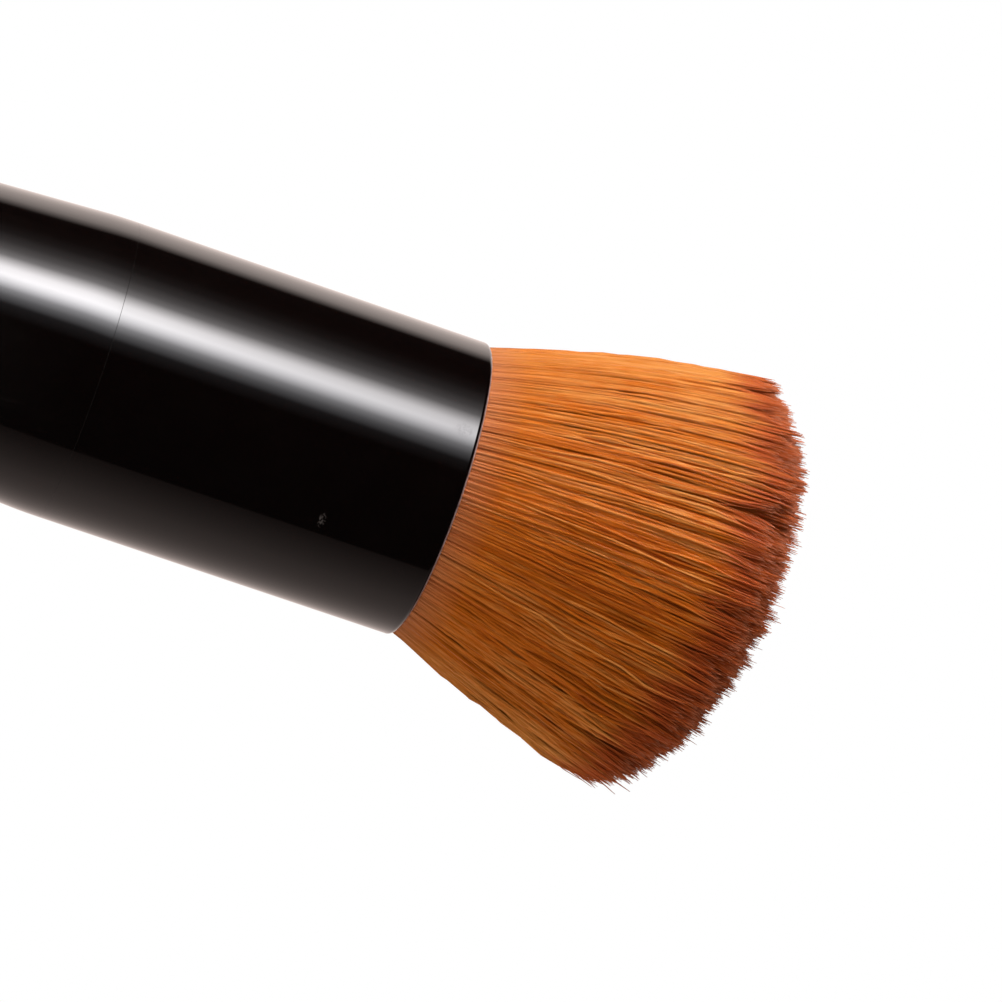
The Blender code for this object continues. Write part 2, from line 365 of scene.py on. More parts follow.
@dataclass(frozen=True)
class FilamentFinish(Finish):
    """Golden synthetic filament whose last few millimetres are dyed reddish brown."""

    name: str = "golden_filament"
    mouth: float = 0.0
    deep: Triple = (0.52, 0.105, 0.006)
    golden: Triple = (0.73, 0.17, 0.006)
    pale: Triple = (0.89, 0.325, 0.065)
    tip_dark: Triple = (0.44, 0.066, 0.009)
    tip_light: Triple = (0.70, 0.14, 0.026)
    # Pale colour of the very points: painted glow of light through the thin tips.
    point: Triple = (0.85, 0.42, 0.26)
    salmon: Triple = (0.62, 0.24, 0.12)
    dyed_length: float = 2.6 * MM
    dye_edge: float = 1.2 * MM
    point_length: float = 0.5 * MM
    point_share: float = 0.32
    lip_glow: float = 2.6 * MM
    lip_share: float = 0.55
    calm_root: float = 14.0 * MM
    sheen: float = 0.13

    def join_nodes(self, nodes: NodeTree) -> None:
        """Join the shades, stripes, painted sheen and glints, dyed tips, painted pale points, lip glow."""
        own = nodes.add("Attribute", attribute_name="shade").outputs["Fac"]
        from_tip = nodes.add("Attribute", attribute_name="from_tip").outputs["Fac"]
        height = nodes.split(nodes.place())["Z"]
        # Stretched noise along the strands: random tone, and painted glints that break up along their
        # length.
        painted_glint_streaks = nodes.noise(240.0, detail=2.0, stretch=(11.0, 11.0, 1.0))
        wisps = nodes.noise(110.0, detail=2.0, stretch=(7.0, 7.0, 1.0))
        change = nodes.math("ADD", own, nodes.span(painted_glint_streaks, (0.25, 0.75), (-0.25, 0.25)))
        change = nodes.math("ADD", change, nodes.span(wisps, (0.25, 0.75), (-0.22, 0.22)))
        evenness = nodes.span(height, (self.mouth, self.mouth + self.calm_root), (0.35, 1.0))
        change = nodes.math("MULTIPLY", nodes.math("SUBTRACT", change, 0.5), evenness)
        shade = nodes.math("ADD", change, 0.5)
        golden = nodes.ramp(shade, [(0.0, self.deep), (0.45, self.golden), (1.0, self.pale)])
        near_lip = nodes.span(height, (self.mouth, self.mouth + self.lip_glow), (self.lip_share, 0.0))
        golden = nodes.mix(near_lip, golden, self.salmon)
        tips = nodes.ramp(shade, [(0.0, self.tip_dark), (1.0, self.tip_light)])
        low, high = self.dyed_length - self.dye_edge, self.dyed_length + self.dye_edge
        colour = nodes.mix(nodes.span(from_tip, (low, high), (1.0, 0.0)), golden, tips)
        # Painted glow of light through the thin points: the last half millimetre turns pale.
        points = nodes.span(from_tip, (0.0, self.point_length), (self.point_share, 0.0))
        rough = nodes.span(shade, (0.0, 1.0), (0.40, 0.55))
        nodes.set(Base_Color=nodes.mix(points, colour, self.point), Roughness=rough)
        nodes.set(IOR=1.5, Specular_IOR_Level=self.sheen)


def arc_points(centre: Pair, radius: float, start: float, end: float, steps: int) -> list[Pair]:
    """Points of an arc in the (radius, height) plane.

    Args:
        centre: the arc's centre.
        radius: its radius.
        start: its first angle, in degrees.
        end: its last angle.
        steps: how many pieces it has.

    Returns:
        The points, from start to end.
    """
    angles = [math.radians(start + (end - start) * step / steps) for step in range(steps + 1)]
    return [(centre[0] + radius * math.cos(a), centre[1] + radius * math.sin(a)) for a in angles]


def eased_side(low: Pair, high: Pair, high_slope: float, steps: int) -> list[Pair]:
    """Points of a turned side that starts upright and ends at a given slope.

    Args:
        low: the lower (radius, height) point, where the side is upright.
        high: the upper point.
        high_slope: growth of the radius with the height at the upper point.
        steps: how many pieces it has.

    Returns:
        The points, from low to high.
    """
    rise = high[1] - low[1]
    points = []
    for step in range(steps + 1):
        t = step / steps
        blend = 3 * t**2 - 2 * t**3
        radius = low[0] + (high[0] - low[0]) * blend + high_slope * rise * (t**3 - t**2)
        points.append((radius, low[1] + rise * t))
    return points


def linked(name: str, data: ID) -> Object:
    """Put data into the scene.

    Args:
        name: its name.
        data: its mesh, curve, light or camera.

    Returns:
        The object.
    """
    made = bpy.data.objects.new(name, data)
    bpy.context.scene.collection.objects.link(made)
    return made


def meshed(name: str, bm: bmesh.types.BMesh) -> Object:
    """Turn a bmesh into an object of the scene, and free it.

    Args:
        name: its name.
        bm: its shape.

    Returns:
        The object.
    """
    mesh = bpy.data.meshes.new(name)
    bm.to_mesh(mesh)
    bm.free()
    return linked(name, mesh)


def spin_piece(name: str, outline: list[Pair], steps: int, closed: bool = False) -> Object:
    """Spin an outline about +Z into a smooth-shaded piece.

    Args:
        name: the piece's name.
        outline: its (radius, height) points.
        steps: how many facets it has round the axis.
        closed: whether the outline is a loop, as on a ring.

    Returns:
        The piece.
    """
    bm = bmesh.new()
    verts = [bm.verts.new((radius, 0.0, height)) for radius, height in outline]
    following = verts[1:] + verts[:1] if closed else verts[1:]
    edges = [bm.edges.new(pair) for pair in zip(verts, following)]
    bmesh.ops.spin(bm, geom=verts + edges, cent=(0, 0, 0), axis=(0, 0, 1), angle=math.tau,
                   steps=steps, use_merge=True)
    bmesh.ops.remove_doubles(bm, verts=bm.verts, dist=MERGE_DISTANCE)
    bmesh.ops.recalc_face_normals(bm, faces=bm.faces)
    piece = meshed(name, bm)
    piece.data.shade_smooth()
    piece.data.set_sharp_from_angle(angle=SHARP_ANGLE)
    return piece


def dress(piece: Object, material: Material, node: str) -> Object:
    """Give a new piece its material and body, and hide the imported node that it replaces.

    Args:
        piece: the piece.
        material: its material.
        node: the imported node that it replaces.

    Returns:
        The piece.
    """
    piece.data.materials.clear()
    piece.data.materials.append(material)
    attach(piece, BODY)
    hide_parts(node)
    return piece


@dataclass
class Ferrule:
    """Drawn tube with a thin mouth rounded on both sides."""

    radius: float
    base: float
    mouth: float
    wall: float = 0.45 * MM
    seam_reach: float = 0.148 * MM
    rear_break: float = 0.006 * MM
    lip_outer: float = 0.34 * MM
    hold: float = 0.02 * MM
    steps: int = 256

    def build(self, material: Material) -> Object:
        """Spin the tube.

        Args:
            material: its lacquer.

        Returns:
            The dressed piece.
        """
        bore = self.radius - self.wall
        lip_inner = self.wall - self.lip_outer
        rear = self.base - self.seam_reach
        outline = [(bore, rear)]
        outline += arc_points((self.radius - self.rear_break, rear + self.rear_break),
                              self.rear_break, -90, 0, 3)
        lip_start = self.mouth - self.lip_outer
        outline += [(self.radius, rear + self.rear_break + self.hold),
                    (self.radius, lip_start - self.hold)]
        outline += arc_points((self.radius - self.lip_outer, lip_start), self.lip_outer, 0, 90, 10)
        outline += arc_points((bore + lip_inner, self.mouth - lip_inner), lip_inner, 90, 180, 4)[1:]
        piece = spin_piece("ferrule_tube", outline, self.steps, closed=True)
        return dress(piece, material, "ferrule")


@dataclass
class Handle:
    """Waisted handle with its tenon, foot and bore."""

    foot_radius: float
    shoulder: float
    shoulder_radius: float
    tenon_top: float
    tenon_radius: float
    cap_radius: float
    cap_plate: float
    bore_radius: float
    bore_top: float
    waist_radius: float = 9.9 * MM
    waist_height: float = 21.0 * MM
    taper: float = 0.06
    foot_round: float = 1.5 * MM
    taper_ease: float = 2.4 * MM
    ease_steps: int = 12
    edge_break: float = 0.006 * MM
    seat_gap: float = 0.12 * MM
    hold: float = 0.02 * MM
    steps: int = 256

    def build(self, material: Material) -> Object:
        """Spin the handle.

        Args:
            material: its lacquer.

        Returns:
            The dressed piece.
        """
        recess = self.cap_radius + self.seat_gap
        recess_top = self.cap_plate + self.seat_gap
        foot_centre = (self.foot_radius - self.foot_round, self.foot_round)
        outline = [(0.0, self.bore_top), (self.bore_radius, self.bore_top),
                   (self.bore_radius, recess_top), (recess, recess_top), (recess, 0.0)]
        outline += arc_points(foot_centre, self.foot_round, -90, 0, 16)
        waist = (self.waist_radius, self.waist_height)
        foot_side = eased_side(waist, (self.foot_radius, self.foot_round), 0.0, 40)
        outline += foot_side[::-1][1:]
        side_top = (self.shoulder_radius, self.shoulder - self.edge_break - self.hold)
        eased_top = (side_top[0] - self.taper * self.taper_ease / 2, side_top[1] - self.taper_ease)
        outline += eased_side(waist, eased_top, self.taper, 48)[1:]
        outline += self.ease_in(eased_top)
        outline += [(side_top[0], side_top[1] + self.hold)]
        outline += arc_points((side_top[0] - self.edge_break, side_top[1] + self.hold),
                              self.edge_break, 0, 90, 3)[1:]
        outline += [(self.tenon_radius, self.shoulder), (self.tenon_radius, self.tenon_top),
                    (0.0, self.tenon_top)]
        return dress(spin_piece("handle_body", outline, self.steps), material, "handle")

    def ease_in(self, low: Pair) -> list[Pair]:
        """Points that lead the taper into the ferrule's straight side.

        Args:
            low: the (radius, height) point where the taper ends.

        Returns:
            The points after low.
        """
        points = []
        for step in range(1, self.ease_steps + 1):
            t = step / self.ease_steps
            radius = low[0] + self.taper * self.taper_ease * (t - t**2 / 2)
            points.append((radius, low[1] + self.taper_ease * t))
        return points


@dataclass
class BaseCap:
    """Moulded cap let into the foot, dished underneath round its gate mark."""

    radius: float
    plate: float
    spigot_radius: float
    spigot_top: float
    spigot_wall: float = 1.1 * MM
    edge_round: float = 0.3 * MM
    dish_radius: float = 6.9 * MM
    dish_depth: float = 0.25 * MM
    gate_radius: float = 0.9 * MM
    steps: int = 160

    def build(self, material: Material) -> Object:
        """Spin the cap.

        Args:
            material: its satin finish.

        Returns:
            The dressed piece.
        """
        spigot_bore = self.spigot_radius - self.spigot_wall
        outline = [(0.0, self.plate), (spigot_bore, self.plate), (spigot_bore, self.spigot_top),
                   (self.spigot_radius, self.spigot_top), (self.spigot_radius, self.plate),
                   (self.radius, self.plate)]
        outline += arc_points((self.radius - self.edge_round, self.edge_round), self.edge_round,
                              0, -90, 8)
        outline += [(self.dish_radius + self.dish_depth, 0.0), (self.dish_radius, self.dish_depth),
                    (self.gate_radius + self.dish_depth, self.dish_depth),
                    (self.gate_radius, self.dish_depth / 2), (0.0, self.dish_depth / 2)]
        piece = spin_piece("base_cap_moulding", outline, self.steps)
        return dress(piece, material, "base_cap")


class Tier(Enum):
    """Rings of the head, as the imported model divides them.

    Each has its node, its two shares of the root's radius, the sides of its strands' section,
    the number of their pieces, and the stations of their points: below the mouth in root depths,
    above it in strand heights.
    """

    CORE = ("bristle_core", 0.0, 0.391, 3, 1, (-1.0, 0.0, 0.4, 0.7, 0.88, 1.0))
    MIDDLE = ("bristle_middle", 0.391, 0.739, 3, 4, (-1.0, 0.0, 0.25, 0.5, 0.7, 0.84, 0.94, 1.0))
    OUTER = ("bristle_outer", 0.739, 1.0, 4, 7,
             (-1.0, 0.0, 0.07, 0.17, 0.28, 0.39, 0.5, 0.61, 0.71, 0.81, 0.9, 0.96, 1.0))

    def __init__(self, node: str, inner: float, outer: float, sides: int, pieces: int,
                 stations: tuple[float, ...]) -> None:
        """Name the ring's values, in their order above."""
        self.node, self.inner, self.outer = node, inner, outer
        self.sides, self.pieces, self.stations = sides, pieces, stations


@dataclass(frozen=True)
class Clumping:
    """One size of clump that the strands gather into, the more so towards their tips."""

    count: int
    pull: Pair
    reach: float
    step: float
    cone: float
    wave: float
    tone: float


def unit(vectors: Array) -> Array:
    """Vectors of the same directions and of length 1."""
    return vectors / np.maximum(np.linalg.norm(vectors, axis=-1, keepdims=True), 1e-9)


@dataclass(frozen=True)
class Waves:
    """Random sideways waves: for each its vector, its turns to the metre and its phase."""

    sideways: Array
    turns: Array
    phases: Array

    @classmethod
    def drawn(cls, chance: np.random.Generator, count: int, size: float, lengths: Pair) -> Waves:
        """Draw waves of a given spread and between two wavelengths, all in metres."""
        return cls(chance.normal(0, size, (count, 2)), math.tau / chance.uniform(*lengths, count),
                   chance.uniform(0, math.tau, count))

    def at(self, owner: Array, heights: Array, size: Array) -> Array:
        """Sideways vectors of strands at their points' heights, each from the wave that owns it."""
        swing = np.sin(heights * self.turns[owner, None] + self.phases[owner, None]) * size
        return self.sideways[owner, None, :] * swing[..., None]


@dataclass(frozen=True)
class Growth:
    """What chance gives the strands, one row each, and the clumps and waves that they follow."""

    roots: Array
    tips: Array
    shades: Array
    radii: Array
    turns: Array
    stray: Array
    pulls: list[tuple[Array, float]]
    waves: list[tuple[Array, Waves]]


@dataclass(frozen=True)
class StrandSet:
    """Finished strands: for each its points, radii, shades, distances from the tip and turn.

    The roundness is how far they shade as round strands, and not as the head's surface.
    """

    sides: int
    roundness: float
    points: Array
    radii: Array
    shades: Array
    from_tip: Array
    turns: Array

    def part(self, chosen: Array) -> StrandSet:
        """Only the strands with the given indices."""
        rows = (self.points, self.radii, self.shades, self.from_tip, self.turns)
        return StrandSet(self.sides, self.roundness, *(row[chosen] for row in rows))

    def bearings(self) -> Array:
        """Direction in which each root lies from the brush's axis."""
        return np.arctan2(self.points[:, 0, 1], self.points[:, 0, 0])

    def outward(self) -> Array:
        """Work out which way is outwards.

        Returns:
            At each point, the unit vector square to the strand that points out of the head.
        """
        angle = self.bearings() + self.turns
        out = np.stack([np.cos(angle), np.sin(angle), np.zeros_like(angle)], axis=1)[:, None]
        along = unit(np.gradient(self.points, axis=1))
        return unit(out - (out * along).sum(axis=2, keepdims=True) * along)

    def section(self) -> Object:
        """Draw the closed outline of unit radius that is swept along each strand.

        Returns:
            The outline, a curve.
        """
        curve = bpy.data.curves.new("strand_section", "CURVE")
        loop = curve.splines.new("POLY")
        loop.points.add(self.sides - 1)
        for index, point in enumerate(loop.points):
            angle = math.tau * index / self.sides
            point.co = (math.cos(angle), math.sin(angle), 0.0, 1.0)
        loop.use_cyclic_u = True
        return linked("strand_section", curve)

    def swept(self, name: str) -> Mesh:
        """Sweep the strands as bevelled curves, each with a flat side outwards.

        Args:
            name: the mesh's name.

        Returns:
            Their open tubes.
        """
        profile = self.section()
        curve = bpy.data.curves.new(name, "CURVE")
        curve.dimensions = "3D"
        curve.bevel_mode = "OBJECT"
        curve.bevel_object = profile
        flat_outwards = math.pi / 2 + math.pi / self.sides
        for line, width, turn in zip(self.points, self.radii, self.turns):
            spline = curve.splines.new("POLY")
            spline.points.add(len(line) - 1)
            spline.points.foreach_set("co", np.insert(line, 3, 1.0, axis=1).ravel())
            spline.points.foreach_set("radius", width)
            spline.points.foreach_set("tilt", np.full(len(line), turn + flat_outwards))
        guide = linked(name + "_guide", curve)
        evaluated = guide.evaluated_get(bpy.context.evaluated_depsgraph_get())
        mesh = bpy.data.meshes.new_from_object(evaluated)
        mesh.name = name
        for used in (guide, profile):
            data = used.data
            bpy.data.objects.remove(used)
            bpy.data.curves.remove(data)
        return mesh

    def soft_normals(self, mesh: Mesh) -> Array:
        """Normals that shade each strand mostly as a part of the head's surface.

        Args:
            mesh: the swept strands.

        Returns:
            A normal for each vertex.
        """
        places = np.empty(len(mesh.vertices) * 3)
        mesh.vertices.foreach_get("co", places)
        around = unit(places.reshape(-1, self.sides, 3) - self.points.reshape(-1, 1, 3))
        outward = self.outward().reshape(-1, 1, 3)
        return unit(outward * (1 - self.roundness) + around * self.roundness).reshape(-1, 3)

    def piece(self, name: str) -> Object:
        """Make one piece of the strands, with their attributes, closed ends and soft normals.

        Args:
            name: the piece's name.

        Returns:
            The piece.
        """
        mesh = self.swept(name)
        for attribute, values in (("shade", self.shades), ("from_tip", self.from_tip)):
            spread = np.repeat(values.ravel(), self.sides).astype(np.float32)
            mesh.attributes.new(attribute, "FLOAT", "POINT").data.foreach_set("value", spread)
        bm = bmesh.new()
        bm.from_mesh(mesh)
        open_edges = [edge for edge in bm.edges if edge.is_boundary]
        bmesh.ops.holes_fill(bm, edges=open_edges, sides=self.sides)
        bmesh.ops.recalc_face_normals(bm, faces=bm.faces)
        bm.to_mesh(mesh)
        bm.free()
        mesh.shade_smooth()
        mesh.normals_split_custom_set_from_vertices(self.soft_normals(mesh))
        return linked(name, mesh)


def scatter(count: int, chance: np.random.Generator, jitter: float) -> Array:
    """Even but irregular places on a unit disc.

    Args:
        count: how many there are.
        chance: the source of the irregularity.
        jitter: its size, as a share of their spacing.

    Returns:
        The places.
    """
    index = np.arange(count)
    radius = np.sqrt((index + 0.5) / count)
    angle = index * math.pi * GOLDEN_TURN
    places = np.stack([radius * np.cos(angle), radius * np.sin(angle)], axis=1)
    places += chance.normal(0.0, jitter / math.sqrt(count), places.shape)
    reach = np.linalg.norm(places, axis=1, keepdims=True)
    return places / np.maximum(reach, 1.0)


def nearest(roots: Array, centres: Array) -> Array:
    """Find the centre that lies nearest to each root, a batch of them at a time.

    Args:
        roots: places on a unit disc.
        centres: other places on it.

    Returns:
        The centres' indices.
    """
    batches = np.array_split(roots, len(roots) // BATCH + 1)
    return np.concatenate([((batch[:, None] - centres)**2).sum(axis=2).argmin(axis=1)
                           for batch in batches])


@dataclass
class BristleHead:
    """Head of fine filaments that leave the mouth packed, fan out and end in a dome."""

    mouth: float
    root_base: float
    strand_count: int = 27000
    root_radius: float = 10.3 * MM
    opening: float = 0.378
    opening_bend: float = 4.35
    bend_start: float = 0.75 * MM
    bend_softness: float = 0.6 * MM
    drift: float = 0.034
    lean: float = 1.09
    length: float = 24.5 * MM
    shoulder: float = 19.0 * MM
    dome_power: float = 2.9
    dome_depth: float = 0.82
    slant: float = 1.65 * MM
    strand_radius: float = 0.088 * MM
    thickness: Pair = (0.75, 1.3)
    roundness: float = 0.22
    root_depth: float = 3.5 * MM
    root_jitter: float = 1.1
    clump_jitter: float = 1.0
    gather_power: float = 1.4
    taper: float = 4.0 * MM
    taper_power: float = 0.8
    tip_share: float = 0.2
    tip_spread: float = 0.12 * MM
    shade_spread: float = 0.1
    # Painted glints: how much paler the wild strands are made.
    painted_wild_glint: float = 0.5
    turn_spread: float = 0.25
    strand_wave: float = 0.1 * MM
    short_waves: Pair = (5.5 * MM, 10.0 * MM)
    long_waves: Pair = (10.0 * MM, 19.0 * MM)
    wave_start: float = 5.0 * MM
    stray: float = 0.2 * MM
    stray_power: float = 1.3
    wild_share: float = 0.08
    wild_stray: float = 2.2
    # Painted sheen: how much paler the strands get towards the head's ±X edges, where light grazes them.
    painted_edge_sheen: float = 0.75
    painted_edge_sheen_power: int = 7
    ruffle: Pair = (0.35, 1.2)
    clumpings: tuple[Clumping, ...] = (
        Clumping(count=220, pull=(0.0, 0.06), reach=22.0 * MM, step=0.12 * MM, cone=0.0,
                 wave=0.03 * MM, tone=0.11),
        Clumping(count=760, pull=(0.2, 0.5), reach=3.0 * MM, step=0.26 * MM, cone=1.8,
                 wave=0.04 * MM, tone=0.06),
        Clumping(count=5200, pull=(0.0, 0.25), reach=12.0 * MM, step=0.08 * MM, cone=0.0,
                 wave=0.04 * MM, tone=0.06))
    glued_share: float = 0.8
    slice_gap: float = 0.05 * MM
    groove_depth: float = 1.1 * MM
    groove_room: float = 0.2 * MM
    root_steps: int = 96
    seed: int = 11

    def half_width(self, height: Array) -> Array:
        """Work out how wide the head is.

        Args:
            height: heights above the mouth.

        Returns:
            Its half width there.
        """
        t = height + self.bend_start
        opened = 0.5 * (t + np.sqrt(t**2 + self.bend_softness**2))
        return self.root_radius + self.opening * opened - self.opening_bend * opened**2

    def tip_heights(self, roots: Array) -> Array:
        """Work out where the dome cuts the strands.

        Args:
            roots: their places on a unit disc.

        Returns:
            Their tips' heights above the mouth.
        """
        share = np.linalg.norm(roots * (1.0, self.dome_depth), axis=1)
        dome = (self.length - self.shoulder) * share**self.dome_power
        return self.length - dome - self.slant * roots[:, 0]

    def grow(self) -> Growth:
        """Draw what chance gives the strands, always in the same order.

        Returns:
            The draws.
        """
        chance = np.random.default_rng(self.seed)
        count = self.strand_count
        roots = scatter(count, chance, self.root_jitter)
        tips = self.tip_heights(roots) + chance.normal(0, self.tip_spread, count)
        shades = 0.5 + chance.normal(0, self.shade_spread, count)
        # Painted sheen: strands towards the ±X edges are made paler, as if lit at a graze.
        shades += self.painted_edge_sheen * np.abs(roots[:, 0])**self.painted_edge_sheen_power
        pulls = []
        waves = [(np.arange(count), Waves.drawn(chance, count, self.strand_wave, self.short_waves))]
        for clumping in self.clumpings:
            centres = scatter(clumping.count, chance, self.clump_jitter)
            member = nearest(roots, centres)
            offset = centres[member] - roots
            tips += chance.normal(0, clumping.step, clumping.count)[member]
            tips -= clumping.cone * np.linalg.norm(offset, axis=1) * self.root_radius
            shades += chance.normal(0, clumping.tone, clumping.count)[member]
            pull = chance.uniform(*clumping.pull, clumping.count)[member]
            pulls.append((offset * pull[:, None], clumping.reach))
            drawn = Waves.drawn(chance, clumping.count, clumping.wave, self.long_waves)
            waves.append((member, drawn))
        stray = chance.normal(0, self.stray, roots.shape)
        wild = chance.random(count) < self.wild_share
        stray[wild] *= self.wild_stray
        # Painted glints: the wild strands are made paler, as if catching the light.
        shades[wild] += self.painted_wild_glint
        radii = self.strand_radius * chance.uniform(*self.thickness, count)
        turns = chance.normal(0, self.turn_spread, count)
        return Growth(roots, tips, np.clip(shades, 0, 1), radii, turns, stray, pulls, waves)

    def strands(self, growth: Growth, tier: Tier) -> StrandSet:
        """Work out the line, thickness and attributes of every strand in a tier.

        Args:
            growth: what chance gives the whole head.
            tier: the tier.

        Returns:
            Its strands.
        """
        reach = np.linalg.norm(growth.roots, axis=1)
        kept = np.nonzero((reach > tier.inner) & (reach <= tier.outer))[0]
        roots, tip = growth.roots[kept], growth.tips[kept, None]
        stations = np.array(tier.stations)
        heights = np.where(stations <= 0, stations * self.root_depth, stations * tip)
        above = np.maximum(heights, 0.0)
        from_tip = tip - heights
        place = np.repeat(roots[:, None, :], len(stations), axis=1)
        for pull, span in growth.pulls:
            gathered = np.clip(1 - from_tip / span, 0, 1)**self.gather_power
            place += pull[kept, None, :] * gathered[..., None]
        flat = place * self.half_width(heights)[..., None]
        ruffle = np.interp(roots[:, 0], (-1.0, 1.0), self.ruffle)[:, None]
        settle = np.clip(above / self.wave_start, 0, 1) * ruffle
        for member, waves in growth.waves:
            flat += waves.at(member[kept], above, settle)
        flat += growth.stray[kept, None, :] * (ruffle * (above / tip)**self.stray_power)[..., None]
        flat[..., 0] += self.drift * above + self.lean * above**2
        points = np.concatenate([flat, heights[..., None] + self.mouth], axis=2)
        slim = np.clip(from_tip / self.taper, 0, 1)**self.taper_power
        radii = growth.radii[kept, None] * (self.tip_share + (1 - self.tip_share) * slim)
        shades = np.broadcast_to(growth.shades[kept, None], heights.shape)
        return StrandSet(tier.sides, self.roundness, points, radii, shades, from_tip,
                         growth.turns[kept])

    def packed_root(self, tier: Tier, material: Material) -> Object:
        """Spin the glued root that the strands of a tier grow from.

        Args:
            tier: the tier.
            material: the finish of the glued root.

        Returns:
            The dressed piece.
        """
        low = tier.inner * self.root_radius + self.slice_gap
        high = tier.outer * self.root_radius - self.slice_gap
        base, top = self.root_base, self.mouth - self.root_depth * self.glued_share
        outline = [(high, base), (high, top), (low, top), (low, base)]
        if tier is Tier.CORE:
            outline = [(0.0, base), (high, base), (high, top), (0.0, top)]
        if tier is Tier.OUTER:
            neck = self.root_radius - self.groove_depth
            groove_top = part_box("root_binding")[1].z + self.groove_room
            outline = [(low, base), (neck, base), (neck, groove_top), (high, groove_top), (high, top),
                       (low, top)]
        piece = spin_piece(tier.node + "_root", outline, self.root_steps, closed=tier is not Tier.CORE)
        return dress(piece, material, tier.node)

    def build(self, material: Material, glued: Material) -> list[Object]:
        """Make all strands and their glued roots.

        Args:
            material: the filaments' finish.
            glued: the finish of the glued roots.

        Returns:
            The pieces.
        """
        growth = self.grow()
        made = []
        for tier in Tier:
            strands = self.strands(growth, tier)
            shares = np.array_split(np.argsort(strands.bearings()), tier.pieces)
            for index, chosen in enumerate(shares, start=1):
                piece = strands.part(chosen).piece(f"{tier.node}_strands_{index}")
                made.append(dress(piece, material, tier.node))
            made.append(self.packed_root(tier, glued))
        return made


@dataclass(frozen=True)
class LightStrip:
    """Part of a round light surround, brighter and dimmer by bearing and height.

    A bearing is counted in degrees from +Y, the side away from the camera, towards +X.
    """

    name: str
    stops: tuple[Pair, ...]
    heights: tuple[Pair, ...]
    first_tint: Triple
    last_tint: Triple
    drift: float = 0.0
    radius: float = 0.9
    facet: float = 3.0

    def build(self) -> Object:
        """Spin the strip from an upright edge, and give it its emission.

        Returns:
            The strip.
        """
        first, last = self.stops[0][0], self.stops[-1][0]
        top = self.heights[-1][0]
        start = Vector((math.sin(math.radians(first)), math.cos(math.radians(first)), 0.0)) * self.radius
        bm = bmesh.new()
        foot = bm.verts.new(start)
        head = bm.verts.new(start + Vector((0.0, 0.0, top)))
        edge = bm.edges.new((foot, head))
        bmesh.ops.spin(bm, geom=[foot, head, edge], cent=(0, 0, 0), axis=(0, 0, 1),
                       angle=-math.radians(last - first), steps=int((last - first) / self.facet))
        strip = meshed(self.name, bm)
        strip.data.materials.append(self.material())
        strip.visible_camera = False
        return strip

    def material(self) -> Material:
        """Make the emission that follows the stops.

        Returns:
            The material.
        """
        material = bpy.data.materials.new(self.name + "_light")
        nodes = NodeTree(material)
        axes = nodes.split(nodes.place())
        turned = nodes.math("ARCTAN2", axes["X"], axes["Y"])
        bearing = nodes.math("MULTIPLY", turned, math.degrees(1.0))
        bearing = nodes.math("ADD", bearing, nodes.math("MULTIPLY", axes["Z"], self.drift))
        first, last = self.stops[0][0], self.stops[-1][0]
        most = max(radiance for _, radiance in self.stops)
        share = nodes.span(bearing, (first, last))
        around = nodes.ramp(share, [((angle - first) / (last - first), (radiance / most,) * 3)
                                    for angle, radiance in self.stops])
        top = self.heights[-1][0]
        up = nodes.ramp(nodes.span(axes["Z"], (0.0, top)),
                        [(height / top, (level,) * 3) for height, level in self.heights])
        strength = nodes.math("MULTIPLY", nodes.math("MULTIPLY", around, up), most)
        tint = nodes.mix(share, self.first_tint, self.last_tint)
        emission = nodes.add("Emission", {"Color": tint, "Strength": strength})
        nodes.join(emission.outputs[0], nodes.tree.nodes["Material Output"].inputs["Surface"])
        return material


